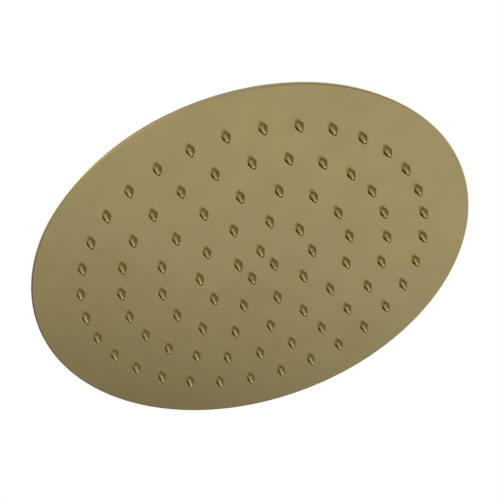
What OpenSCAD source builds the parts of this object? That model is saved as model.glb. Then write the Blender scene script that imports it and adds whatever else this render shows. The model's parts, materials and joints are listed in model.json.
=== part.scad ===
// Round overhead shower head: a slim two-sheet spray disc that hangs on a ball joint.
// +Z is up. The origin is the mouth of the threaded inlet socket, and the disc hangs below it, face down.
// All sizes are in millimetres. Inside the modules, a height over the face counts up from the disc's face,
// and a height over the ball counts up from the ball's centre.

/* [Spray disc] */
// Outside diameter of the spray disc
disc_d = 250; // [204:2:400]
// Height of the rim, from the face to the top of the turned-up edge
rim_h = 2; // [1.8:0.1:4]
// Thickness of the face sheet
face_t = 0.8; // [0.6:0.1:1]
// Radius of the rounded edge between the face and the rim
edge_r = 0.6; // [0.2:0.1:0.8]

/* [Back sheet] */
// Thickness of the back sheet
back_t = 0.8; // [0.6:0.1:1]
// Width of the flat flange that is welded down inside the rim
flange_w = 14; // [6:0.5:20]
// Height of the water chamber's flat top over the face
chamber_h = 6; // [5:0.1:9]
// Width of the pressed slope between the flange and the chamber's top
slope_w = 6; // [3:0.5:10]
// Rise of the centre over the chamber's flat top
centre_rise = 3.5; // [1:0.1:8]
// Radius of the flat top of the raised centre
centre_top_r = 24; // [22:0.5:30]
// Width of the pressed slope around the raised centre
centre_slope_w = 20; // [8:0.5:26]
// Radius of a dimple's flat floor
dimple_floor_r = 2; // [1:0.1:3]
// Radius of a dimple's mouth
dimple_mouth_r = 6.5; // [4:0.1:8]
// Number of dimples in the inner circle
inner_dimples = 8; // [4:1:12]
// Number of dimples in the outer circle
outer_dimples = 16; // [6:1:24]

/* [Nozzles] */
// Radius of the innermost ring of nozzles
first_ring_r = 10.5; // [8:0.5:14]
// Distance from the outermost ring of nozzles to the edge of the water chamber's flat top
chamber_margin = 6.5; // [3:0.5:14]
// Nozzles in the first ring, the innermost
ring_1_count = 4; // [3:1:8]
// Nozzles in the second ring
ring_2_count = 10; // [6:1:20]
// Nozzles in the third ring
ring_3_count = 16; // [8:1:30]
// Nozzles in the fourth ring
ring_4_count = 24; // [10:1:40]
// Nozzles in the fifth ring, the outermost
ring_5_count = 32; // [12:1:50]
// How far a nozzle stands out of the face
nozzle_h = 4.6; // [3:0.1:7]
// Diameter of a nozzle's foot
nozzle_foot_d = 4.9; // [4.2:0.1:5.5]
// Height of the upright edge of a nozzle's foot
nozzle_foot_h = 0.25; // [0.1:0.05:0.8]
// Diameter of a nozzle's tip
nozzle_tip_d = 2.1; // [1.8:0.1:3]
// Rounding of the edge of the tip
nozzle_tip_round = 0.25; // [0.1:0.05:0.35]
// Diameter of the jet hole in a nozzle's tip
jet_d = 0.9; // [0.5:0.1:1]
// Length of the jet hole
jet_l = 0.9; // [0.5:0.1:1.5]
// Diameter of the water channel in a nozzle
channel_d = 1.5; // [1.2:0.1:1.6]
// Diameter of the waist that fills the hole in the face sheet
waist_d = 3.2; // [2.6:0.1:3.6]
// Diameter of the barb that holds a nozzle behind the sheet
barb_d = 4.5; // [4:0.1:5]
// Height of the barb
barb_h = 1.8; // [1:0.1:2.2]

/* [Ball joint] */
// Diameter of the ball
ball_d = 20; // [19:0.5:22]
// Diameter of the stem between the ball and the socket
stem_d = 13; // [12:0.5:14]
// Diameter of the water bore through the stem and the ball
water_d = 9; // [6:0.5:9.5]
// Width of the flat ring around the bore's mouth in the ball
ball_mouth_w = 0.4; // [0.2:0.1:0.6]
// Furthest tilt of the disc to any side, in degrees
tilt_max = 15; // [8:1:16]
// Thickness of the slippery liner between ball and nut
liner_t = 1; // [0.6:0.1:1.2]
// Bore of the seat under the ball
seat_bore_d = 11; // [10.5:0.5:12]
// Thickness of the seat under the ball's lowest line of contact
seat_floor_t = 2; // [1.5:0.1:4]
// Thickness of the O-ring in the seat
oring_w = 1.8; // [1.4:0.1:2]
// Angle of the O-ring from the ball's lowest point, in degrees
oring_angle = 50; // [46:1:56]
// Diameter of the thread between neck and nut
neck_thread_d = 30; // [29:0.5:32]
// Diameter of the neck's flange on the back sheet
neck_flange_d = 42; // [38:0.5:43]
// Thickness of the neck's flange
neck_flange_t = 2; // [1.5:0.1:3]
// Thickness of the neck's floor under the seat
neck_floor_t = 2.5; // [2:0.1:5]
// Distance of the neck's top edge below the ball's centre
neck_top_drop = 1; // [0.5:0.1:2]
// Diameter of the neck's water hole
neck_bore_d = 12; // [10:0.5:14]
// Diameter of the spigot that goes through the back sheet
spigot_d = 18; // [17:0.5:24]
// Length of the spigot that shows inside the water chamber
spigot_l = 0.7; // [0.3:0.1:1]

/* [Collar nut] */
// Outside diameter of the nut
nut_d = 36; // [35:0.5:40]
// Diameter of the nut's flat top
nut_top_d = 25; // [23:0.5:27]
// Thickness of the nut's lip over the ball
nut_lip_t = 1.8; // [1.2:0.1:3]
// Edge chamfer at the foot of the nut
nut_chamfer = 0.6; // [0.3:0.1:1]
// Number of grip flutes around the nut
flute_count = 18; // [8:1:24]
// Depth of a grip flute
flute_depth = 0.7; // [0.3:0.1:0.9]
// Radius of a grip flute
flute_r = 2.5; // [1.5:0.1:3]

/* [Inlet socket] */
// Major diameter of the socket's pipe thread
inlet_thread_d = 20.96; // [20.8:0.02:21.2]
// Length of the threaded wall
inlet_thread_l = 10; // [8:0.5:14]
// Depth of the relief groove past the thread, which holds the washer
relief_l = 2.2; // [2:0.1:3]
// Diameter of the relief groove
relief_d = 21.8; // [21.4:0.1:22]
// Width across the flats of the hexagon
hex_af = 26; // [25:0.5:30]
// Thickness of the hexagon's floor under the regulator
socket_floor_t = 1.6; // [1.2:0.1:3]
// Height of the chamfer at the hexagon's corners
hex_chamfer = 1; // [0.5:0.1:1.5]
// Width of the chamfer between the hexagon and the stem
stem_chamfer = 1.2; // [0.5:0.1:1.4]
// Outside diameter of the rubber washer
washer_d = 20.4; // [19:0.1:20.6]
// Bore of the rubber washer
washer_bore_d = 13; // [12:0.5:14]
// Diameter of the filter disc, which sits in a groove of the washer
filter_d = 15; // [14.6:0.1:16]
// Thickness of the filter disc
filter_t = 0.4; // [0.3:0.1:0.6]
// Distance between the holes of the filter
filter_pitch = 1.5; // [1.3:0.1:2.5]
// Diameter of the holes of the filter
filter_hole_d = 0.9; // [0.5:0.1:1]

/* [Flow regulator] */
// Diameter of the regulator
regulator_d = 14; // [13.4:0.1:15]
// Height of the regulator
regulator_h = 3.6; // [3.2:0.1:5]
// Thickness of the wall around it
regulator_wall_t = 1.2; // [0.8:0.1:1.6]
// Thickness of its floor
regulator_floor_t = 1; // [0.8:0.1:1.3]
// Distance of the post's top below the top of the wall
post_drop = 0.5; // [0.2:0.1:0.9]
// Number of ports, and of teeth on the post
port_count = 8; // [5:1:10]

/* [Clearances] */
// Gap between pieces that slide on each other
running_gap = 0.04; // [0.02:0.01:0.08]
// Gap around pieces that are pressed, welded or screwed together
seat_gap = 0.05; // [0.02:0.01:0.1]
// Gap that is left where the stem and the nut come together at full tilt
stop_gap = 0.4; // [0.3:0.05:0.8]

/* [Hidden] */

// Smoothness of round forms
$fn = 96;
// Steps in a pressed slope, and in a rounded edge
slope_steps = 8;
edge_steps = 6;
// How far a cutting body runs past the surface that it cuts
past = 1;

gold = [0.60, 0.53, 0.38];
soft_gold = [0.64, 0.58, 0.43];
brass_tone = [0.72, 0.60, 0.36];
white_plastic = [0.90, 0.90, 0.87];
black_rubber = [0.12, 0.12, 0.13];
steel = [0.72, 0.72, 0.73];
green_plastic = [0.35, 0.55, 0.42];

disc_r = disc_d / 2;
ring_counts = [ring_1_count, ring_2_count, ring_3_count, ring_4_count, ring_5_count];

// The rings of nozzles lie at even distances, from the innermost to the edge of the water chamber
flange_h = face_t + back_t;
flange_r = disc_r - face_t - seat_gap;
slope_foot_r = disc_r - flange_w;
slope_top_r = slope_foot_r - slope_w;
last_ring_r = slope_top_r - chamber_margin;
ring_pitch = (last_ring_r - first_ring_r) / (len(ring_counts) - 1);
// The circles of dimples lie halfway between two rings, where ring 0 is the innermost
inner_dimple_ring = 2.5;
outer_dimple_ring = 3.5;

// Sizes around the ball, as radii from its centre
ball_r = ball_d / 2;
stem_r = stem_d / 2;
liner_in_r = ball_r + running_gap;
liner_out_r = liner_in_r + liner_t;
cup_r = liner_out_r + running_gap;
// The lip of the nut stops the stem: the angle is counted from straight up
lip_angle = tilt_max + asin((stem_r + stop_gap) / cup_r);
lip_r = cup_r * sin(lip_angle);
lip_h = cup_r * cos(lip_angle);
// The liner stays under the lip and over the seat when the ball tilts inside the nut
liner_margin = 1;
liner_top_angle = lip_angle + tilt_max + liner_margin;
// The liner's foot lies just above the ball's widest line
liner_foot_angle = 89;
liner_reach_h = -liner_out_r * sin(liner_foot_angle + tilt_max - 90);

// Heights over the ball
nut_top_h = lip_h + nut_lip_t;
neck_top_h = -neck_top_drop;
seat_top_h = liner_reach_h - stop_gap;
seat_in_r = ball_r + running_gap;
seat_bore_r = seat_bore_d / 2;
seat_edge_h = -sqrt(pow(seat_in_r, 2) - pow(seat_bore_r, 2));
seat_foot_h = seat_edge_h - seat_floor_t;
neck_pocket_h = seat_foot_h - seat_gap;
neck_foot_h = neck_pocket_h - neck_floor_t;
nut_foot_h = neck_foot_h + neck_flange_t + stop_gap;
face_h = neck_foot_h - chamber_h - centre_rise;
ball_cut_h = -sqrt(pow(ball_r, 2) - pow(water_d / 2 + ball_mouth_w, 2));

// The neck's pocket leaves the liner free, and the seat turns in it
pocket_r = cup_r + stop_gap / 2;
seat_r = pocket_r - running_gap;

// The underside of the hexagon clears the nut's top edge at full tilt
hex_foot_h = nut_top_h * cos(tilt_max) + nut_top_d / 2 * sin(tilt_max) + stop_gap;
socket_depth = inlet_thread_l + relief_l;
regulator_pocket_h = regulator_h + seat_gap;
hex_l = socket_depth + regulator_pocket_h + socket_floor_t;
ball_z = -(hex_l + hex_foot_h);
face_z = ball_z + face_h;

// The washer fills the length of the relief groove
washer_t = relief_l - seat_gap;
regulator_r = regulator_d / 2;

// Points along a pressed slope from one radius and height to another, level at both ends
function slope(r_from, h_from, r_to, h_to) = [
    for (i = [0 : slope_steps])
        let (part = i / slope_steps)
        [r_from + (r_to - r_from) * part, h_from + (h_to - h_from) * (1 - cos(180 * part)) / 2]
];

// Points along an arc around a centre, from one angle to another
function arc(centre, radius, from_angle, to_angle) = [
    for (i = [0 : edge_steps])
        let (angle = from_angle + (to_angle - from_angle) * i / edge_steps)
        centre + radius * [cos(angle), sin(angle)]
];

function ring_r(ring) = first_ring_r + ring_pitch * ring;

// Repeats its children around the axis, starting on +X
module around(count, radius) {
    for (i = [0 : count - 1])
        rotate([0, 0, 360 * i / count])
            translate([radius, 0, 0])
                children();
}

// Places its children on every nozzle of every ring
module all_nozzle_places() {
    for (ring = [0 : len(ring_counts) - 1])
        around(ring_counts[ring], ring_r(ring))
            children();
}

module all_dimple_places() {
    around(inner_dimples, ring_r(inner_dimple_ring))
        children();
    around(outer_dimples, ring_r(outer_dimple_ring))
        children();
}

// The face sheet, a shallow tray with a hole for each nozzle
module face_plate() {
    color(gold)
        translate([0, 0, face_z])
            difference() {
                rotate_extrude()
                    polygon(concat(
                        [[0, 0]],
                        arc([disc_r - edge_r, edge_r], edge_r, -90, 0),
                        [[disc_r, rim_h], [disc_r - face_t, rim_h], [disc_r - face_t, face_t], [0, face_t]]
                    ));
                all_nozzle_places()
                    translate([0, 0, -past])
                        cylinder(d = waist_d + 2 * seat_gap, h = face_t + 2 * past);
            }
}

// Upper line of the back sheet, from the spigot's hole out to the welded flange
centre_foot_r = centre_top_r + centre_slope_w;
centre_h = chamber_h + centre_rise;
back_line = concat(
    [[spigot_d / 2 + seat_gap, centre_h]],
    slope(centre_top_r, centre_h, centre_foot_r, chamber_h),
    slope(slope_top_r, chamber_h, slope_foot_r, flange_h),
    [[flange_r, flange_h]]
);
// The lower line is the upper one, a sheet's thickness below, from the flange back to the hole
back_underline = [
    for (i = [len(back_line) - 1 : -1 : 0])
        back_line[i] - [0, back_t]
];

// A dimple's form, filled from its floor up to where it meets a level of the sheet
module dimple_form(floor_h, level_h, top_h) {
    // The form's edge is carried a little past the level, so that the two cross cleanly
    bite = back_t / 4;
    rotate_extrude()
        polygon(concat(
            [[0, top_h], [0, floor_h]],
            slope(dimple_floor_r, floor_h, dimple_mouth_r, level_h + bite),
            [[dimple_mouth_r, top_h]]
        ));
}

// The back sheet, with dimples pressed down to the face sheet
module back_plate() {
    dimple_foot_h = face_t + seat_gap;
    sheet_foot_h = chamber_h - back_t;
    // The dimples' outer form ends inside the sheet, and their hollow is open at the top
    sheet_middle_h = chamber_h - back_t / 2;
    color(gold)
        translate([0, 0, face_z])
            difference() {
                union() {
                    rotate_extrude()
                        polygon(concat(back_line, back_underline));
                    all_dimple_places()
                        dimple_form(dimple_foot_h, sheet_foot_h, sheet_middle_h);
                }
                all_dimple_places()
                    dimple_form(dimple_foot_h + back_t, chamber_h, chamber_h + past);
            }
}

// One soft nozzle, with its foot on the face and its barb behind the sheet
module nozzle() {
    tip_r = nozzle_tip_d / 2;
    barb_foot_h = face_t + seat_gap;
    barb_top_h = barb_foot_h + barb_h;
    funnel_l = (channel_d - jet_d) / 2;
    rotate_extrude()
        polygon([
            [jet_d / 2, -nozzle_h],
            [tip_r - nozzle_tip_round, -nozzle_h],
            [tip_r, -nozzle_h + nozzle_tip_round],
            [nozzle_foot_d / 2, -nozzle_foot_h],
            [nozzle_foot_d / 2, 0],
            [waist_d / 2, 0],
            [waist_d / 2, barb_foot_h],
            [barb_d / 2, barb_foot_h],
            [waist_d / 2, barb_top_h],
            [channel_d / 2, barb_top_h],
            [channel_d / 2, -nozzle_h + jet_l + funnel_l],
            [jet_d / 2, -nozzle_h + jet_l]
        ]);
}

module nozzle_ring(ring) {
    color(soft_gold)
        translate([0, 0, face_z])
            around(ring_counts[ring], ring_r(ring))
                nozzle();
}

// The threaded neck on the back sheet, with a pocket for the seat and a spigot through the sheet
module inlet_neck() {
    bore_r = neck_bore_d / 2;
    spigot_r = spigot_d / 2;
    flange_top_h = neck_foot_h + neck_flange_t;
    spigot_foot_h = neck_foot_h - back_t - spigot_l;
    thread_r = neck_thread_d / 2;
    color(brass_tone)
        translate([0, 0, ball_z])
            rotate_extrude()
                polygon([
                    [bore_r, spigot_foot_h],
                    [spigot_r, spigot_foot_h],
                    [spigot_r, neck_foot_h],
                    [neck_flange_d / 2, neck_foot_h],
                    [neck_flange_d / 2, flange_top_h],
                    [thread_r, flange_top_h],
                    [thread_r, neck_top_h],
                    [pocket_r, neck_top_h],
                    [pocket_r, neck_pocket_h],
                    [bore_r, neck_pocket_h]
                ]);
}

// The domed nut: its round hollow holds the liner and its lip stops the stem
module collar_nut() {
    nut_r = nut_d / 2;
    top_r = nut_top_d / 2;
    dome_l = nut_top_h;
    flare_r = lip_r + (nut_top_h + past - lip_h) * tan(tilt_max);
    color(gold)
        translate([0, 0, ball_z])
            difference() {
                rotate_extrude()
                    difference() {
                        polygon(concat(
                            [[0, nut_foot_h], [nut_r - nut_chamfer, nut_foot_h]],
                            [[nut_r, nut_foot_h + nut_chamfer]],
                            [
                                for (i = [0 : slope_steps])
                                    let (angle = 90 * i / slope_steps)
                                    [top_r + (nut_r - top_r) * cos(angle), dome_l * sin(angle)]
                            ],
                            [[0, nut_top_h]]
                        ));
                        circle(r = cup_r);
                        polygon([[0, 0], [lip_r, lip_h], [flare_r, nut_top_h + past], [0, nut_top_h + past]]);
                        translate([0, neck_top_h - past])
                            square([cup_r, past - neck_top_h]);
                        translate([0, nut_foot_h - past])
                            square([neck_thread_d / 2 + seat_gap, neck_top_h - nut_foot_h + past]);
                    }
                around(flute_count, nut_r + flute_r - flute_depth)
                    translate([0, 0, nut_foot_h - past])
                        cylinder(r = flute_r, h = nut_top_h - nut_foot_h + 2 * past);
            }
}

// The plastic seat under the ball, with a groove for the O-ring
module ball_seat() {
    color(white_plastic)
        translate([0, 0, ball_z])
            rotate_extrude()
                difference() {
                    translate([seat_bore_r, seat_foot_h])
                        square([seat_r - seat_bore_r, seat_top_h - seat_foot_h]);
                    circle(r = seat_in_r);
                    oring_place()
                        circle(d = oring_w + 2 * seat_gap);
                }
}

module oring_place() {
    centre_r = seat_in_r + oring_w / 2;
    translate([centre_r * sin(oring_angle), -centre_r * cos(oring_angle)])
        children();
}

module seat_oring() {
    color(black_rubber)
        translate([0, 0, ball_z])
            rotate_extrude()
                oring_place()
                    circle(d = oring_w);
}

// A zone of a thin hollow sphere, which follows the ball's stem
module ball_liner() {
    reach = 2 * liner_out_r;
    color(white_plastic)
        translate([0, 0, ball_z])
            rotate_extrude()
                intersection() {
                    difference() {
                        circle(r = liner_out_r);
                        circle(r = liner_in_r);
                    }
                    polygon([
                        [0, 0],
                        reach * [sin(liner_foot_angle), cos(liner_foot_angle)],
                        reach * [sin(liner_top_angle), cos(liner_top_angle)]
                    ]);
                }
}

// The hexagonal socket, the stem and the ball, turned from one bar
module ball_stem() {
    hex_r = hex_af / 2 / cos(30);
    chamfer_w = hex_r - hex_af / 2;
    water_r = water_d / 2;
    // The stem ends inside the hexagon's floor
    stem_top_h = hex_foot_h + socket_floor_t / 2;
    color(gold)
        difference() {
            union() {
                intersection() {
                    translate([0, 0, -hex_l])
                        cylinder(r = hex_r, h = hex_l, $fn = 6);
                    rotate_extrude()
                        polygon([
                            [0, -hex_l],
                            [hex_r - chamfer_w, -hex_l],
                            [hex_r, -hex_l + hex_chamfer],
                            [hex_r, -hex_chamfer],
                            [hex_r - chamfer_w, 0],
                            [0, 0]
                        ]);
                }
                translate([0, 0, ball_z])
                    rotate_extrude()
                        union() {
                            intersection() {
                                circle(r = ball_r);
                                translate([0, ball_cut_h])
                                    square([ball_r, 2 * ball_r]);
                            }
                            polygon([
                                [0, 0],
                                [stem_r, 0],
                                [stem_r, hex_foot_h - stem_chamfer],
                                [stem_r + stem_chamfer, hex_foot_h],
                                [stem_r + stem_chamfer, stem_top_h],
                                [0, stem_top_h]
                            ]);
                        }
            }
            translate([0, 0, -inlet_thread_l])
                cylinder(d = inlet_thread_d, h = inlet_thread_l + past);
            translate([0, 0, -socket_depth])
                cylinder(d = relief_d, h = relief_l);
            translate([0, 0, -socket_depth - regulator_pocket_h])
                cylinder(r = regulator_r + seat_gap, h = regulator_pocket_h + past);
            translate([0, 0, ball_z - ball_r])
                cylinder(r = water_r, h = ball_r - ball_z);
        }
}

// The rubber washer, with a groove in its bore for the filter
module inlet_washer() {
    groove_h = -socket_depth + washer_t / 2 - filter_t / 2 - seat_gap;
    color(black_rubber)
        difference() {
            translate([0, 0, -socket_depth])
                cylinder(d = washer_d, h = washer_t);
            translate([0, 0, -socket_depth - past])
                cylinder(d = washer_bore_d, h = washer_t + 2 * past);
            translate([0, 0, groove_h])
                cylinder(d = filter_d + 2 * seat_gap, h = filter_t + 2 * seat_gap);
        }
}

// The filter disc, with holes in straight rows inside the washer's bore
module inlet_filter() {
    free_r = washer_bore_d / 2 - filter_hole_d;
    rows = floor(free_r / filter_pitch);
    color(steel)
        translate([0, 0, -socket_depth + washer_t / 2 - filter_t / 2])
            difference() {
                cylinder(d = filter_d, h = filter_t);
                for (i = [-rows : rows])
                    for (j = [-rows : rows])
                        if (norm([i, j]) * filter_pitch <= free_r)
                            translate([i * filter_pitch, j * filter_pitch, -past])
                                cylinder(d = filter_hole_d, h = filter_t + 2 * past);
            }
}

// Radii in the flow regulator: the groove lies between the wall and the post, and the elastic ring takes up
// a part of its width, a little nearer to the wall. A tooth and a port are shares of the post and of the ring
post_share = 0.42;
elastic_share = 0.5;
tooth_share = 0.3;
port_share = 0.3;
outward_share = 0.3;
groove_out_r = regulator_r - regulator_wall_t;
post_r = groove_out_r * post_share;
groove_mid_r = (groove_out_r + post_r) / 2;
elastic_w = (groove_out_r - post_r) * elastic_share;
elastic_r = groove_mid_r + elastic_w * outward_share;

// The moulded regulator: a ring-shaped groove with ports in its floor and teeth on its centre post
module regulator_body() {
    tooth_r = post_r * tooth_share;
    port_r = elastic_w * port_share;
    groove_l = regulator_h - regulator_floor_t;
    post_l = regulator_h - post_drop;
    color(green_plastic)
        translate([0, 0, -socket_depth - regulator_h])
            difference() {
                union() {
                    difference() {
                        cylinder(r = regulator_r, h = regulator_h);
                        translate([0, 0, regulator_floor_t])
                            cylinder(r = groove_out_r, h = groove_l + past);
                    }
                    cylinder(r = post_r, h = post_l);
                    around(port_count, post_r)
                        cylinder(r = tooth_r, h = post_l);
                }
                around(port_count, groove_mid_r)
                    translate([0, 0, -past])
                        cylinder(r = port_r, h = regulator_h);
            }
}

// The elastic ring, which lies on the floor of the regulator's groove
module regulator_ring() {
    color(black_rubber)
        translate([0, 0, -socket_depth - regulator_h + regulator_floor_t + elastic_w / 2])
            rotate_extrude()
                translate([elastic_r, 0])
                    circle(d = elastic_w);
}

face_plate();
back_plate();
nozzle_ring(0);  // nozzles_ring_1
nozzle_ring(1);  // nozzles_ring_2
nozzle_ring(2);  // nozzles_ring_3
nozzle_ring(3);  // nozzles_ring_4
nozzle_ring(4);  // nozzles_ring_5
inlet_neck();
collar_nut();
ball_seat();
seat_oring();
ball_liner();
ball_stem();
inlet_washer();
inlet_filter();
regulator_body();
regulator_ring();
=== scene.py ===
import json
import math

import bpy
from mathutils import Matrix, Vector

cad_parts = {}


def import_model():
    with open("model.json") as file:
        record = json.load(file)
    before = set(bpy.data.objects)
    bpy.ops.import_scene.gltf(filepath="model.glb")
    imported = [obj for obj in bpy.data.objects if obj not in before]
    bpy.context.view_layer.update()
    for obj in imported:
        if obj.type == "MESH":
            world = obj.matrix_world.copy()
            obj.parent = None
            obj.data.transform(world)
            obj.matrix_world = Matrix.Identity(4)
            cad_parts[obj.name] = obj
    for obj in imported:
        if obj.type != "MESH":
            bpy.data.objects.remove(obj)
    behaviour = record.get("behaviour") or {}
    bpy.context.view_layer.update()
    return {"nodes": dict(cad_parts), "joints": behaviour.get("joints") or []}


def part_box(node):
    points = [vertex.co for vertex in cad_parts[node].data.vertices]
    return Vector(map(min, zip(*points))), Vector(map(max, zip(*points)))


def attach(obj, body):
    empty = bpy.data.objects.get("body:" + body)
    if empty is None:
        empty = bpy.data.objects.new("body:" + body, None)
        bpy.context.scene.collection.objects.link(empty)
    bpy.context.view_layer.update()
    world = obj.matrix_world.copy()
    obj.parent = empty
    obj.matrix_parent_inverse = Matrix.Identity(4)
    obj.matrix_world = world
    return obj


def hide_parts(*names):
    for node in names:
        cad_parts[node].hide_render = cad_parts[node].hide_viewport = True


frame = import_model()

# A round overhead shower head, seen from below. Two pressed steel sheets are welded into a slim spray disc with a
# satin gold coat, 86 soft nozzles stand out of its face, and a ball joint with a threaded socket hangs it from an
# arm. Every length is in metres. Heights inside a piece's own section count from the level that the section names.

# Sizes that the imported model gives
FACE_LOW, FACE_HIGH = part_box("face_plate")
BACK_LOW, BACK_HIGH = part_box("back_plate")
NECK_LOW, NECK_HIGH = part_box("inlet_neck")
NUT_LOW, NUT_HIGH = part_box("collar_nut")
STEM_LOW, STEM_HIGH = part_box("ball_stem")
WASHER_LOW, WASHER_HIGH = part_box("inlet_washer")
FILTER_LOW, FILTER_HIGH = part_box("inlet_filter")
DISC_R = FACE_HIGH.x
FACE_Z = FACE_LOW.z
RIM_H = FACE_HIGH.z - FACE_Z
BALL_Z = next(joint["pos_m"][2] for joint in frame["joints"] if joint["name"] == "tilt")

# Sizes that are the same as in the part's own source
SHEET_T = 0.0008
EDGE_R = 0.0006
FLANGE_W = 0.014
CHAMBER_RISE = 0.0035
SLOPE_W = 0.006
CENTRE_TOP_R = 0.024
CENTRE_SLOPE_W = 0.020
DIMPLE_FLOOR_R = 0.002
DIMPLE_MOUTH_R = 0.0065
SPIGOT_R = 0.009
RING_COUNTS = [4, 10, 16, 24, 32]
INNER_DIMPLES = 8
OUTER_DIMPLES = 16
FIT = 0.00005

# How finely round pieces are stepped
DISC_STEPS = 256
FITTING_STEPS = 144
NOZZLE_STEPS = 28
# Width of the flat margin beside a rounded edge, which keeps the flat's shading level
MARGIN = 0.0003
SMOOTH_ANGLE = math.radians(32)


# Modelling helpers

def deselect():
    bpy.ops.object.select_all(action="DESELECT")


def pick(*pieces):
    """Selects these objects alone. The last one is the active one."""
    deselect()
    for piece in pieces:
        piece.select_set(True)
        bpy.context.view_layer.objects.active = piece


def arc(centre, radius, start, end, steps):
    """Points of (radius, height) on a round corner, with its angles in degrees."""
    turns = [math.radians(start + (end - start) * i / steps) for i in range(steps + 1)]
    return [(centre[0] + radius * math.cos(a), centre[1] + radius * math.sin(a)) for a in turns]


def pressed(start, end, steps):
    """Points of (radius, height) on a pressed slope, level at both ends."""
    shares = [i / steps for i in range(steps + 1)]
    return [
        (start[0] + (end[0] - start[0]) * s, start[1] + (end[1] - start[1]) * (1 - math.cos(math.pi * s)) / 2)
        for s in shares
    ]


def raised(outline, height):
    return [(r, h + height) for r, h in outline]


def turned(name, outline, steps, closed=False, capped=False):
    """Turns an outline of (radius, height) points: a circle is extruded and scaled from each point to the next."""
    deselect()
    r, h = outline[0]
    bpy.ops.mesh.primitive_circle_add(vertices=steps, radius=r, location=(0, 0, h))
    bpy.ops.object.transform_apply(location=True)
    piece = bpy.context.object
    piece.name = name
    piece.data.name = name
    bpy.ops.object.mode_set(mode="EDIT")
    bpy.ops.mesh.select_mode(type="EDGE")
    bpy.ops.mesh.select_all(action="SELECT")
    for next_r, next_h in outline[1:]:
        bpy.ops.mesh.extrude_region_move(TRANSFORM_OT_translate={"value": (0, 0, next_h - h)})
        bpy.ops.transform.resize(value=(next_r / r, next_r / r, 1), center_override=(0, 0, 0))
        r, h = next_r, next_h
    bpy.ops.mesh.select_all(action="SELECT")
    if closed:
        bpy.ops.mesh.remove_doubles(threshold=1e-6)
    if capped:
        bpy.ops.mesh.fill_holes(sides=0)
    bpy.ops.mesh.select_all(action="SELECT")
    bpy.ops.mesh.normals_make_consistent(inside=False)
    bpy.ops.object.mode_set(mode="OBJECT")
    return piece


def ring_outline(*points):
    """Closes an outline that goes round a ring's section."""
    return [*points, points[0]]


def modify(piece, kind, **settings):
    """Adds a modifier with its settings and applies it."""
    pick(piece)
    modifier = piece.modifiers.new(kind.lower(), kind)
    for key, value in settings.items():
        setattr(modifier, key, value)
    bpy.ops.object.modifier_apply(modifier=modifier.name)


def carve(piece, tool, operation="DIFFERENCE"):
    """Cuts with a tool, or joins or keeps what both share, and takes the tool away."""
    modify(piece, "BOOLEAN", operation=operation, solver="EXACT", object=tool)
    bpy.data.objects.remove(tool)


def ease(piece, width, steps=2, angle=30):
    """Rounds the sharp edges a little, as a maker breaks them."""
    modify(
        piece, "BEVEL", width=width, segments=steps, limit_method="ANGLE", angle_limit=math.radians(angle),
        use_clamp_overlap=True,
    )


def around(count, radius, height=0):
    """Places on a circle around the disc's axis, the first one on +X."""
    return [
        Matrix.Rotation(2 * math.pi * i / count, 4, "Z") @ Matrix.Translation((radius, 0, height))
        for i in range(count)
    ]


def repeated(name, master, places):
    """Copies a piece to each place, each copy with its own mesh, and joins the copies into one object."""
    copies = []
    for place in places:
        twin = master.copy()
        twin.data = master.data.copy()
        bpy.context.scene.collection.objects.link(twin)
        twin.data.transform(place)
        copies.append(twin)
    pick(*copies)
    bpy.ops.object.join()
    joined = bpy.context.object
    joined.name = name
    joined.data.name = name
    return joined


def smooth(piece):
    pick(piece)
    bpy.ops.object.shade_smooth_by_angle(angle=SMOOTH_ANGLE)


def fitted(piece, body, material, slot, *nodes):
    """Smooths a finished piece, gives it its material and puts it on its body in place of the plain solids."""
    smooth(piece)
    piece.data.materials.clear()
    piece.data.materials.append(material)
    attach(piece, body)
    if nodes:
        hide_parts(*nodes)
    return piece


# Materials

def linear(colour):
    """An sRGB hex colour as linear light."""
    parts = [int(colour[i:i + 2], 16) / 255 for i in (1, 3, 5)]
    return tuple(c / 12.92 if c <= 0.04045 else ((c + 0.055) / 1.055) ** 2.4 for c in parts) + (1.0,)


def add_node(tree, kind, inputs=(), **settings):
    """Adds a node. Its settings are named, and each input is (name or number, value or output to link)."""
    node = tree.nodes.new(kind)
    for key, value in settings.items():
        setattr(node, key, value)
    for socket, value in inputs:
        if isinstance(value, bpy.types.NodeSocket):
            tree.links.new(value, node.inputs[socket])
        else:
            node.inputs[socket].default_value = value
    return node


def new_material(name):
    """A material with its shader and the object's own coordinates."""
    material = bpy.data.materials.new(name)
    material.use_nodes = True
    tree = material.node_tree
    tree.nodes.clear()
    shader = add_node(tree, "ShaderNodeBsdfPrincipled")
    output = add_node(tree, "ShaderNodeOutputMaterial", [("Surface", shader.outputs["BSDF"])])
    output.location.x = 300
    place = add_node(tree, "ShaderNodeTexCoord").outputs["Object"]
    return material, tree, shader, place


def grain(tree, place, size, detail=2.0, stretch=(1, 1, 1)):
    """A noise whose blotches are about this size in metres, longer where stretch is below 1."""
    mapped = add_node(tree, "ShaderNodeMapping", [("Vector", place), ("Scale", stretch)])
    noise = add_node(tree, "ShaderNodeTexNoise", [
        ("Vector", mapped.outputs["Vector"]), ("Scale", 1 / size), ("Detail", detail), ("Roughness", 0.55),
    ])
    return noise.outputs["Fac"]


def spread(tree, value, low, high):
    """Spreads the middle of a noise over a range."""
    ranged = add_node(tree, "ShaderNodeMapRange", [
        ("Value", value), ("From Min", 0.3), ("From Max", 0.7), ("To Min", low), ("To Max", high),
    ])
    return ranged.outputs["Result"]


def blend_colours(tree, value, first, second):
    mix = add_node(tree, "ShaderNodeMix", [
        (0, value), (6, linear(first)), (7, linear(second)),
    ], data_type="RGBA")
    return mix.outputs[2]


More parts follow.
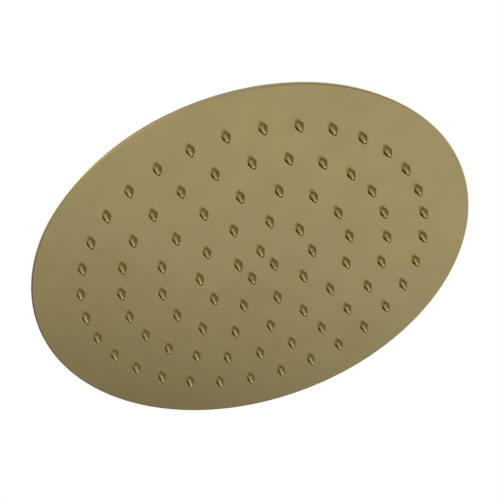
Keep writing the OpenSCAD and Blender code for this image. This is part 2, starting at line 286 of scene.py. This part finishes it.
def bump(tree, shader, height, depth):
    """Raises the surface by a height map, where depth is the map's full height in metres."""
    node = add_node(tree, "ShaderNodeBump", [("Height", height), ("Distance", depth), ("Strength", 1.0)])
    tree.links.new(node.outputs["Normal"], shader.inputs["Normal"])


def link(tree, output, shader, socket):
    tree.links.new(output, shader.inputs[socket])


def satin_gold_sheet():
    """Stainless sheet, fine satin finish, gold vapour coat: an even khaki gold that blurs what it mirrors."""
    material, tree, shader, place = new_material("satin_gold_sheet")
    shader.inputs["Metallic"].default_value = 1.0
    tone = spread(tree, grain(tree, place, 0.060), 0, 1)
    link(tree, blend_colours(tree, tone, "#A19265", "#9E8F64"), shader, "Base Color")
    cloud = grain(tree, place, 0.018, detail=4)
    link(tree, spread(tree, cloud, 0.25, 0.29), shader, "Roughness")
    # The sheet's faint waviness after pressing and welding, about 40 mm from wave to wave
    bump(tree, shader, grain(tree, place, 0.040, detail=1), 0.00003)
    return material


def satin_gold_fitting():
    """Turned brass with the same coat: fine tool rings run around the axis."""
    material, tree, shader, place = new_material("satin_gold_fitting")
    shader.inputs["Metallic"].default_value = 1.0
    # Tool marks are about 0.1 mm apart; they are drawn 0.25 mm apart, so that they show
    marks = grain(tree, place, 0.00025, detail=2, stretch=(0.02, 0.02, 1))
    tone = spread(tree, marks, 0, 1)
    link(tree, blend_colours(tree, tone, "#A49466", "#9B8C60"), shader, "Base Color")
    link(tree, spread(tree, marks, 0.22, 0.32), shader, "Roughness")
    bump(tree, shader, marks, 0.000004)
    return material


def gold_silicone():
    """Moulded silicone coated with gold pearl pigment: it mirrors softly, a little paler than the disc."""
    material, tree, shader, place = new_material("gold_silicone")
    shader.inputs["Metallic"].default_value = 1.0
    tone = spread(tree, grain(tree, place, 0.0012), 0, 1)
    link(tree, blend_colours(tree, tone, "#BCAF7E", "#B6A979"), shader, "Base Color")
    link(tree, spread(tree, grain(tree, place, 0.0004), 0.28, 0.36), shader, "Roughness")
    bump(tree, shader, grain(tree, place, 0.0003), 0.000003)
    return material


def turned_brass():
    """Bare turned brass: a warmer yellow, with fine tool rings."""
    material, tree, shader, place = new_material("turned_brass")
    shader.inputs["Metallic"].default_value = 1.0
    marks = grain(tree, place, 0.00025, detail=2, stretch=(0.02, 0.02, 1))
    tone = spread(tree, marks, 0, 1)
    link(tree, blend_colours(tree, tone, "#D2B46C", "#C6A660"), shader, "Base Color")
    link(tree, spread(tree, marks, 0.2, 0.3), shader, "Roughness")
    bump(tree, shader, marks, 0.000004)
    return material


def moulded_plastic(name, colour, shade, gloss):
    """Injection-moulded plastic: even, with a faint cloudiness and the mould's fine grain."""
    material, tree, shader, place = new_material(name)
    shader.inputs["IOR"].default_value = 1.48
    tone = spread(tree, grain(tree, place, 0.006), 0, 1)
    link(tree, blend_colours(tree, tone, colour, shade), shader, "Base Color")
    link(tree, spread(tree, grain(tree, place, 0.0008), gloss, gloss + 0.08), shader, "Roughness")
    bump(tree, shader, grain(tree, place, 0.0003), 0.000004)
    return material


def black_rubber():
    """Moulded rubber: nearly black, dull, with a fine pebbled skin."""
    material, tree, shader, place = new_material("black_rubber")
    shader.inputs["IOR"].default_value = 1.52
    skin = grain(tree, place, 0.0005, detail=3)
    tone = spread(tree, skin, 0, 1)
    link(tree, blend_colours(tree, tone, "#1B1B1C", "#252526"), shader, "Base Color")
    link(tree, spread(tree, skin, 0.5, 0.65), shader, "Roughness")
    bump(tree, shader, skin, 0.00001)
    return material


def filter_steel():
    """Punched stainless sheet, rolled bright: a pale grey with faint lines along the rolling."""
    material, tree, shader, place = new_material("filter_steel")
    shader.inputs["Metallic"].default_value = 1.0
    lines = grain(tree, place, 0.0002, detail=2, stretch=(0.03, 1, 1))
    tone = spread(tree, lines, 0, 1)
    link(tree, blend_colours(tree, tone, "#C9C8C5", "#BDBCB9"), shader, "Base Color")
    link(tree, spread(tree, lines, 0.22, 0.34), shader, "Roughness")
    bump(tree, shader, lines, 0.000002)
    return material


SHEET_GOLD = satin_gold_sheet()
FITTING_GOLD = satin_gold_fitting()
SILICONE = gold_silicone()
BRASS = turned_brass()
WHITE_PLASTIC = moulded_plastic("white_plastic", "#EDECE6", "#E6E5DF", 0.32)
RUBBER = black_rubber()
FILTER = filter_steel()
GREEN_PLASTIC = moulded_plastic("green_plastic", "#5A8C6B", "#548464", 0.3)


# Spray disc: heights count up from the face

def ring_radius(ring):
    """Radius of a ring of nozzles; a half number is between two rings."""
    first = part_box("nozzles_ring_1")[1].x
    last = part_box("nozzles_ring_5")[1].x
    return first - NOZZLE_FOOT_R + (last - first) * (ring - 1) / (len(RING_COUNTS) - 1)


NOZZLE_FOOT_R = 0.00245
NOZZLE_TIP_R = 0.00105
NOZZLE_TIP_ROUND = 0.00025
NOZZLE_FOOT_H = 0.00025
NOZZLE_FOOT_ROUND = 0.0001
JET_R = 0.00045
# The jet hole widens to a round mouth at the tip
MOUTH_R = 0.0007
MOUTH_H = 0.0007
JET_L = 0.0009
CHANNEL_R = 0.00075
WAIST_R = 0.0016
BARB_R = 0.00225
BARB_H = 0.0018
NOZZLE_H = FACE_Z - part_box("nozzles_ring_1")[0].z


def face_sheet():
    """The face: a shallow tray with a rounded edge, a turned-up rim and a hole for each nozzle."""
    lip = SHEET_T / 4
    inside_r = DISC_R - SHEET_T
    outline = [
        (DISC_R - EDGE_R - MARGIN, 0),
        *arc((DISC_R - EDGE_R, EDGE_R), EDGE_R, -90, 0, 8),
        *arc((DISC_R - lip, RIM_H - lip), lip, 0, 90, 3),
        *arc((inside_r + lip, RIM_H - lip), lip, 90, 180, 3),
        *arc((inside_r - lip, SHEET_T + lip), lip, 0, -90, 3),
        (inside_r - lip - MARGIN, SHEET_T),
    ]
    sheet = turned("face_sheet", raised(outline, FACE_Z), DISC_STEPS, capped=True)
    deselect()
    bpy.ops.mesh.primitive_cylinder_add(
        vertices=NOZZLE_STEPS, radius=WAIST_R + FIT, depth=4 * SHEET_T, location=(0, 0, FACE_Z + SHEET_T / 2)
    )
    bpy.ops.object.transform_apply(location=True)
    punch = bpy.context.object
    places = [place for ring, count in enumerate(RING_COUNTS, 1) for place in around(count, ring_radius(ring))]
    punches = repeated("punches", punch, places)
    bpy.data.objects.remove(punch)
    carve(sheet, punches)
    return fitted(sheet, "head", SHEET_GOLD, "satin_gold_sheet", "face_plate")


def back_sheet():
    """The back: one sheet with a welded flange, a raised chamber, a raised centre and rows of pressed dimples."""
    chamber_z = BACK_HIGH.z - CHAMBER_RISE
    hole_r = SPIGOT_R + FIT
    centre_foot_r = CENTRE_TOP_R + CENTRE_SLOPE_W
    slope_foot_r = DISC_R - FLANGE_W
    slope_top_r = slope_foot_r - SLOPE_W
    flange_z = FACE_Z + 2 * SHEET_T
    dimple_z = BACK_LOW.z + SHEET_T
    centre = turned("back_sheet", [
        (hole_r, BACK_HIGH.z), (CENTRE_TOP_R - MARGIN, BACK_HIGH.z),
        *pressed((CENTRE_TOP_R, BACK_HIGH.z), (centre_foot_r, chamber_z), 20),
        (centre_foot_r + MARGIN, chamber_z),
    ], DISC_STEPS)
    border = turned("border", [
        (slope_top_r - MARGIN, chamber_z),
        *pressed((slope_top_r, chamber_z), (slope_foot_r, flange_z), 14),
        (slope_foot_r + MARGIN, flange_z), (BACK_HIGH.x, flange_z),
    ], DISC_STEPS)
    dimple = turned("dimple", [
        (DIMPLE_MOUTH_R + MARGIN, chamber_z),
        *pressed((DIMPLE_MOUTH_R, chamber_z), (DIMPLE_FLOOR_R, dimple_z), 12),
        (DIMPLE_FLOOR_R / 2, dimple_z),
    ], 40)
    bpy.ops.object.mode_set(mode="EDIT")
    bpy.ops.mesh.select_all(action="DESELECT")
    bpy.ops.mesh.select_mode(type="VERT")
    bpy.ops.object.mode_set(mode="OBJECT")
    for vertex in dimple.data.vertices:
        vertex.select = math.hypot(vertex.co.x, vertex.co.y) < DIMPLE_FLOOR_R * 0.75
    bpy.ops.object.mode_set(mode="EDIT")
    bpy.ops.mesh.edge_face_add()
    bpy.ops.object.mode_set(mode="OBJECT")
    places = around(INNER_DIMPLES, ring_radius(3.5)) + around(OUTER_DIMPLES, ring_radius(4.5))
    dimples = repeated("dimples", dimple, places)
    bpy.data.objects.remove(dimple)
    pick(border, dimples, centre)
    bpy.ops.object.join()
    sheet = bpy.context.object
    fill_level(sheet, chamber_z)
    bpy.ops.object.mode_set(mode="EDIT")
    bpy.ops.mesh.select_all(action="SELECT")
    bpy.ops.mesh.remove_doubles(threshold=1e-6)
    bpy.ops.mesh.normals_make_consistent(inside=False)
    bpy.ops.object.mode_set(mode="OBJECT")
    if sum(face.normal.z * face.area for face in sheet.data.polygons) < 0:
        sheet.data.flip_normals()
    modify(sheet, "SOLIDIFY", thickness=SHEET_T, offset=-1.0, use_even_offset=True, use_quality_normals=True)
    return fitted(sheet, "head", SHEET_GOLD, "satin_gold_sheet", "back_plate")


def fill_level(piece, height):
    """Fills the flat between all open edges that lie at one height."""
    pick(piece)
    bpy.ops.object.mode_set(mode="EDIT")
    bpy.ops.mesh.select_mode(type="EDGE")
    bpy.ops.mesh.select_all(action="DESELECT")
    bpy.ops.mesh.select_non_manifold(extend=False)
    bpy.ops.object.mode_set(mode="OBJECT")
    points = piece.data.vertices
    for edge in piece.data.edges:
        level = all(abs(points[i].co.z - height) < 1e-6 for i in edge.vertices)
        edge.select = edge.select and level
    bpy.ops.object.mode_set(mode="EDIT")
    bpy.ops.mesh.fill(use_beauty=True)
    bpy.ops.object.mode_set(mode="OBJECT")


def soft_nozzles():
    """The nozzles: a cone with a rounded tip, a jet hole, a waist in the sheet and a barb behind it."""
    barb_foot = SHEET_T + FIT
    barb_top = barb_foot + BARB_H
    tip_z = -NOZZLE_H
    nozzle = turned("nozzle", raised(ring_outline(
        (CHANNEL_R, barb_top),
        (WAIST_R, barb_top),
        (BARB_R, barb_foot),
        (WAIST_R, barb_foot),
        (WAIST_R, 0),
        *arc((NOZZLE_FOOT_R - NOZZLE_FOOT_ROUND, -NOZZLE_FOOT_ROUND), NOZZLE_FOOT_ROUND, 90, 0, 2),
        (NOZZLE_FOOT_R, -NOZZLE_FOOT_H),
        *arc((NOZZLE_TIP_R - NOZZLE_TIP_ROUND, tip_z + NOZZLE_TIP_ROUND), NOZZLE_TIP_ROUND, -15, -90, 4),
        (MOUTH_R, tip_z),
        (MOUTH_R - 0.00005, tip_z + 0.0001),
        (JET_R, tip_z + MOUTH_H),
        (JET_R, tip_z + JET_L),
        (CHANNEL_R, tip_z + JET_L + CHANNEL_R - JET_R),
    ), FACE_Z), NOZZLE_STEPS, closed=True)
    for ring, count in enumerate(RING_COUNTS, 1):
        nozzles = repeated(f"soft_nozzles_{ring}", nozzle, around(count, ring_radius(ring)))
        fitted(nozzles, "head", SILICONE, "gold_silicone", f"nozzles_ring_{ring}")
    bpy.data.objects.remove(nozzle)


# Ball joint: heights count up from the ball's centre

BALL_R = 0.010
RUNNING = 0.00004
LINER_T = 0.001
STOP_GAP = 0.0004
STEM_R = 0.0065
WATER_R = 0.0045
# Width of the flat ring around the bore's mouth in the ball
BALL_MOUTH_W = 0.0004
TILT = math.radians(15)
CUP_R = BALL_R + LINER_T + 2 * RUNNING
LIP_ANGLE = TILT + math.asin((STEM_R + STOP_GAP) / CUP_R)
LIP_R = CUP_R * math.sin(LIP_ANGLE)
LIP_H = CUP_R * math.cos(LIP_ANGLE)
THREAD_R = 0.015
NUT_TOP_R = 0.0125
NUT_CHAMFER = 0.0006
NECK_TOP = NECK_HIGH.z - BALL_Z


def neck():
    """The neck: a turned ring with a flange on the back sheet, a pocket for the seat and a spigot below."""
    foot = BACK_HIGH.z - BALL_Z
    spigot_foot = NECK_LOW.z - BALL_Z
    flange_r = NECK_HIGH.x
    bore_r = 0.006
    flange_t = 0.002
    pocket_r = CUP_R + STOP_GAP / 2
    floor_t = 0.0025
    pocket_foot = foot + floor_t
    ease_r = 0.0003
    piece = turned("threaded_neck", raised(ring_outline(
        (bore_r, spigot_foot),
        (SPIGOT_R, spigot_foot),
        (SPIGOT_R, foot),
        (flange_r - ease_r, foot),
        *arc((flange_r - ease_r, foot + ease_r), ease_r, -90, 0, 3)[1:],
        *arc((flange_r - ease_r, foot + flange_t - ease_r), ease_r, 0, 90, 4),
        *arc((THREAD_R + ease_r, foot + flange_t + ease_r), ease_r, 270, 180, 3),
        (THREAD_R, NECK_TOP - ease_r),
        (THREAD_R - ease_r, NECK_TOP),
        (pocket_r, NECK_TOP),
        (pocket_r, pocket_foot),
        (bore_r, pocket_foot),
    ), BALL_Z), FITTING_STEPS, closed=True)
    return fitted(piece, "head", BRASS, "turned_brass", "inlet_neck")


def nut():
    """The collar nut: a dome with a round hollow, a flared lip and 18 flutes for the grip."""
    foot = NUT_LOW.z - BALL_Z
    top = NUT_HIGH.z - BALL_Z
    nut_r = NUT_HIGH.y
    dome = [
        (NUT_TOP_R + (nut_r - NUT_TOP_R) * math.cos(a), top * math.sin(a))
        for a in [math.radians(90 * i / 20) for i in range(20)]
    ]
    flare_r = LIP_R + (top - LIP_H) * math.tan(TILT)
    piece = turned("domed_nut", raised(ring_outline(
        (THREAD_R + FIT, foot),
        (nut_r - NUT_CHAMFER, foot),
        (nut_r, foot + NUT_CHAMFER),
        *dome,
        (NUT_TOP_R, top),
        (flare_r, top),
        *arc((0, 0), CUP_R, math.degrees(math.pi / 2 - LIP_ANGLE), 0, 12),
        (CUP_R, NECK_TOP),
        (THREAD_R + FIT, NECK_TOP),
    ), BALL_Z), FITTING_STEPS, closed=True)
    flute_count = 18
    flute_r = 0.0025
    flute_depth = 0.0007
    deselect()
    bpy.ops.mesh.primitive_cylinder_add(
        vertices=48, radius=flute_r, depth=2 * (top - foot), location=(0, 0, BALL_Z)
    )
    bpy.ops.object.transform_apply(location=True)
    cutter = bpy.context.object
    flutes = repeated("flutes", cutter, around(flute_count, nut_r + flute_r - flute_depth))
    bpy.data.objects.remove(cutter)
    carve(piece, flutes)
    ease(piece, 0.00012)
    return fitted(piece, "head", FITTING_GOLD, "satin_gold_fitting", "collar_nut")


# Stem: heights count down from the mouth of the inlet socket

INLET_R = 0.01048
INLET_L = 0.010
RELIEF_R = 0.0109
RELIEF_L = 0.0022
REGULATOR_R = 0.007
REGULATOR_L = 0.00365
SOCKET_FLOOR = 0.0016
HEX_L = INLET_L + RELIEF_L + REGULATOR_L + SOCKET_FLOOR


def stem():
    """The stem: a hexagon with a threaded socket, a round neck and the ball, bored through for the water."""
    corner_r = STEM_HIGH.x
    flat_r = STEM_HIGH.y
    chamfer_h = 0.001
    stem_chamfer = 0.0012
    deselect()
    bpy.ops.mesh.primitive_cylinder_add(
        vertices=6, radius=flat_r / math.cos(math.radians(30)), depth=HEX_L, location=(0, 0, -HEX_L / 2),
        rotation=(0, 0, math.radians(90)),
    )
    bpy.ops.object.transform_apply(location=True, rotation=True)
    piece = bpy.context.object
    piece.name = "ball_and_socket_stem"
    piece.data.name = piece.name
    round_bar = turned("round_bar", [
        (flat_r, -HEX_L), (corner_r, -HEX_L + chamfer_h), (corner_r, -chamfer_h), (flat_r, 0),
    ], FITTING_STEPS, capped=True)
    carve(piece, round_bar, "INTERSECT")
    mouth_r = WATER_R + BALL_MOUTH_W
    ball_foot = -math.sqrt(BALL_R ** 2 - mouth_r ** 2)
    foot_angle = math.degrees(math.atan2(ball_foot, mouth_r))
    neck_angle = math.degrees(math.acos(STEM_R / BALL_R))
    shank = turned("shank", [
        *arc((0, BALL_Z), BALL_R, foot_angle, neck_angle, 32),
        (STEM_R, -HEX_L - stem_chamfer),
        (STEM_R + stem_chamfer, -HEX_L),
        (STEM_R + stem_chamfer, -HEX_L + SOCKET_FLOOR / 2),
    ], FITTING_STEPS, capped=True)
    carve(piece, shank, "UNION")
    bore = turned("bore", [
        (WATER_R, BALL_Z - 2 * BALL_R),
        (WATER_R, -HEX_L + SOCKET_FLOOR),
        (REGULATOR_R + FIT, -HEX_L + SOCKET_FLOOR),
        (REGULATOR_R + FIT, -INLET_L - RELIEF_L),
        (RELIEF_R, -INLET_L - RELIEF_L),
        (RELIEF_R, -INLET_L),
        (INLET_R, -INLET_L),
        (INLET_R, INLET_L),
    ], FITTING_STEPS, capped=True)
    carve(piece, bore)
    ease(piece, 0.00015)
    return fitted(piece, "stem", FITTING_GOLD, "satin_gold_fitting", "ball_stem")


def socket_thread():
    """The socket's thread: five turns of a ridge that starts and ends by running out into the wall."""
    pitch = 0.001814
    crest_r = 0.00932
    root_w = 0.00078
    crest_w = 0.00012
    turns = 5
    top = -0.0008
    deselect()
    bpy.ops.mesh.primitive_plane_add(size=0.001, rotation=(math.radians(90), 0, 0))
    bpy.ops.object.transform_apply(rotation=True)
    piece = bpy.context.object
    piece.name = "socket_thread"
    piece.data.name = piece.name
    wall_r = INLET_R + 2 * FIT
    for vertex in piece.data.vertices:
        side = 1 if vertex.co.z > 0 else -1
        outer = vertex.co.x > 0
        vertex.co = (wall_r if outer else crest_r, 0, side * (root_w if outer else crest_w))
    modify(
        piece, "SCREW", axis="Z", angle=2 * math.pi, screw_offset=pitch, iterations=turns, steps=72,
        render_steps=72, use_merge_vertices=True, merge_threshold=1e-7,
    )
    bpy.ops.object.mode_set(mode="EDIT")
    bpy.ops.mesh.select_all(action="SELECT")
    bpy.ops.mesh.fill_holes(sides=4)
    bpy.ops.mesh.select_all(action="SELECT")
    bpy.ops.mesh.normals_make_consistent(inside=False)
    bpy.ops.object.mode_set(mode="OBJECT")
    lowest = min(vertex.co.z for vertex in piece.data.vertices)
    highest = max(vertex.co.z for vertex in piece.data.vertices)
    for vertex in piece.data.vertices:
        from_end = min(vertex.co.z - lowest, highest - vertex.co.z)
        run_out = min(1.0, from_end / pitch)
        radius = math.hypot(vertex.co.x, vertex.co.y)
        target = wall_r - (wall_r - radius) * run_out
        vertex.co.x *= target / radius
        vertex.co.y *= target / radius
        vertex.co.z += top - highest
    return fitted(piece, "stem", FITTING_GOLD, "satin_gold_fitting")


def washer():
    """The rubber washer, with rounded edges and a groove in its bore that holds the filter."""
    low, high = WASHER_LOW.z, WASHER_HIGH.z
    outer = WASHER_HIGH.x
    bore_r = 0.0065
    groove_r = FILTER_HIGH.x + FIT
    soft = 0.0002
    piece = turned("rubber_washer", ring_outline(
        (bore_r + soft, low),
        *arc((outer - soft, low + soft), soft, -90, 0, 3),
        *arc((outer - soft, high - soft), soft, 0, 90, 3),
        *arc((bore_r + soft, high - soft), soft, 90, 180, 3),
        (bore_r, FILTER_HIGH.z + FIT),
        (groove_r, FILTER_HIGH.z + FIT),
        (groove_r, FILTER_LOW.z - FIT),
        (bore_r, FILTER_LOW.z - FIT),
        (bore_r, low + soft),
    ), FITTING_STEPS, closed=True)
    return fitted(piece, "stem", RUBBER, "black_rubber", "inlet_washer")


def dress_plain(node, material):
    """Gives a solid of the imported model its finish."""
    piece = frame["nodes"][node]
    piece.data.materials.clear()
    piece.data.materials.append(material)


face_sheet()
back_sheet()
soft_nozzles()
neck()
nut()
stem()
socket_thread()
washer()
dress_plain("inlet_filter", FILTER)
dress_plain("ball_seat", WHITE_PLASTIC)
dress_plain("ball_liner", WHITE_PLASTIC)
dress_plain("seat_oring", RUBBER)
dress_plain("regulator_ring", RUBBER)
dress_plain("regulator_body", GREEN_PLASTIC)

# Camera: the photograph's viewing angle, found from the disc's outline and the places of its nozzles
CAMERA_AZIMUTH = math.radians(62.8)
CAMERA_ELEVATION = math.radians(-42.63)
CAMERA_ROLL = math.radians(-20.41)
CAMERA_DISTANCE = 6.05 * DISC_R
# The middle of the picture is off the disc's centre by these parts of the disc's radius
CAMERA_RIGHT = -0.0290 * DISC_R
CAMERA_UP = 0.0652 * DISC_R
SENSOR = 36.0
PICTURE = 500
FOCAL_PIXELS = 1359.4


def camera():
    back = Vector((
        math.sin(CAMERA_AZIMUTH) * math.cos(CAMERA_ELEVATION),
        -math.cos(CAMERA_AZIMUTH) * math.cos(CAMERA_ELEVATION),
        math.sin(CAMERA_ELEVATION),
    ))
    level_right = Vector((0, 0, 1)).cross(back).normalized()
    level_up = back.cross(level_right)
    right = math.cos(CAMERA_ROLL) * level_right + math.sin(CAMERA_ROLL) * level_up
    up = back.cross(right)
    data = bpy.data.cameras.new("camera")
    data.sensor_fit = "HORIZONTAL"
    data.sensor_width = SENSOR
    data.lens = FOCAL_PIXELS / PICTURE * SENSOR
    data.clip_start = 0.01
    data.clip_end = 50
    eye = bpy.data.objects.new("camera", data)
    bpy.context.scene.collection.objects.link(eye)
    turn = Matrix((right, up, back)).transposed()
    place = Vector((0, 0, FACE_Z)) + back * CAMERA_DISTANCE + right * CAMERA_RIGHT + up * CAMERA_UP
    eye.matrix_world = Matrix.Translation(place) @ turn.to_4x4()
    bpy.context.scene.camera = eye


def direction(azimuth, elevation):
    """A direction from the object, where azimuth 0 is -Y and 90 is +X, in degrees."""
    a, e = math.radians(azimuth), math.radians(elevation)
    return Vector((math.sin(a) * math.cos(e), -math.cos(a) * math.cos(e), math.sin(e)))


# The shower's floor is this far below the inlet
FLOOR_DROP = 2.1
FLOOR_R = 8.0


def floor():
    deselect()
    bpy.ops.mesh.primitive_circle_add(
        vertices=96, radius=FLOOR_R, fill_type="NGON", location=(0, 0, -FLOOR_DROP)
    )
    bpy.ops.object.transform_apply(location=True)
    ground = bpy.context.object
    ground.name = "floor"
    material, tree, shader, place = new_material("pale_floor")
    shader.inputs["Roughness"].default_value = 0.8
    tone = spread(tree, grain(tree, place, 0.5), 0, 1)
    link(tree, blend_colours(tree, tone, "#F1F0EE", "#ECEBE8"), shader, "Base Color")
    ground.data.materials.append(material)
    ground.visible_glossy = False


# Where the studio is brightest, and its levels of light: each is (cosine of the angle from there, brightness)
BRIGHT_AZIMUTH = 107
BRIGHT_ELEVATION = -38
LOWER_LEVELS = [
    (-1.0, 0.0), (-0.4, 0.0), (-0.17, 0.0), (0.0, 1.5), (0.17, 0.71), (0.45, 1.59), (0.7, 0.0), (1.0, 1.01),
]
# Above the horizon each is (sine of the height, brightness)
UPPER_LEVELS = [(-1.0, 0.8), (0.0, 0.75), (0.5, 0.8), (1.0, 1.05)]
# The brightest level that a ramp holds
FULL_LEVEL = 2.0


def light_levels(tree, value, levels):
    """A curve of brightness over a value from -1 to 1."""
    share = add_node(tree, "ShaderNodeMapRange", [("Value", value), ("From Min", -1.0), ("From Max", 1.0)])
    ramp = add_node(tree, "ShaderNodeValToRGB", [("Fac", share.outputs["Result"])])
    ramp.color_ramp.interpolation = "B_SPLINE"
    for i, (at, level) in enumerate(levels):
        stop = ramp.color_ramp.elements[i] if i < 2 else ramp.color_ramp.elements.new((at + 1) / 2)
        stop.position = (at + 1) / 2
        stop.color = (level / FULL_LEVEL, level / FULL_LEVEL, level / FULL_LEVEL, 1)
    return add_node(tree, "ShaderNodeMath", [
        (0, ramp.outputs["Color"]), (1, FULL_LEVEL),
    ], operation="MULTIPLY").outputs["Value"]


def world():
    """A pale studio: white behind the object, and around it a soft fall of light for the metal to mirror."""
    surroundings = bpy.data.worlds.new("studio")
    bpy.context.scene.world = surroundings
    surroundings.use_nodes = True
    tree = surroundings.node_tree
    tree.nodes.clear()
    way = add_node(tree, "ShaderNodeTexCoord").outputs["Generated"]
    # Below the horizon the light falls off from the bright side of the studio to the dark one
    facing = add_node(tree, "ShaderNodeVectorMath", [
        (0, way), (1, direction(BRIGHT_AZIMUTH, BRIGHT_ELEVATION)),
    ], operation="DOT_PRODUCT").outputs["Value"]
    below = light_levels(tree, facing, LOWER_LEVELS)
    height = add_node(tree, "ShaderNodeSeparateXYZ", [("Vector", way)]).outputs["Z"]
    above = light_levels(tree, height, UPPER_LEVELS)
    rise = add_node(tree, "ShaderNodeMapRange", [
        ("Value", height), ("From Min", -0.1), ("From Max", 0.3),
    ], interpolation_type="SMOOTHSTEP").outputs["Result"]
    level = add_node(tree, "ShaderNodeMix", [(0, rise), (2, below), (3, above)], data_type="FLOAT").outputs[0]
    light = add_node(tree, "ShaderNodeBackground", [("Color", (1, 1, 1, 1)), ("Strength", level)])
    white = add_node(tree, "ShaderNodeBackground", [("Color", (1, 1, 1, 1)), ("Strength", 1.0)])
    ray = add_node(tree, "ShaderNodeLightPath").outputs["Is Camera Ray"]
    seen = add_node(tree, "ShaderNodeMixShader", [
        (0, ray), (1, light.outputs["Background"]), (2, white.outputs["Background"]),
    ])
    add_node(tree, "ShaderNodeOutputWorld", [("Surface", seen.outputs["Shader"])])


def softbox(name, azimuth, elevation, distance, size, power):
    """A large square lamp that faces the object."""
    data = bpy.data.lights.new(name, "AREA")
    data.size = size
    data.energy = power
    lamp = bpy.data.objects.new(name, data)
    bpy.context.scene.collection.objects.link(lamp)
    way = direction(azimuth, elevation)
    lamp.matrix_world = Matrix.Translation(way * distance) @ way.to_track_quat("Z", "Y").to_matrix().to_4x4()


camera()
floor()
world()
# Each lamp: where it stands, its distance and width in metres, and its power in watts
softbox("key_softbox", 330, 65, 2.5, 1.2, 26)
softbox("fill_softbox", 180, 60, 2.5, 1.6, 16)
softbox("near_softbox", 63, -24, 2.0, 1.6, 6.3)
softbox("side_softbox", 30, -24, 2.0, 1.6, 4.4)

bpy.context.scene.view_settings.view_transform = "Standard"
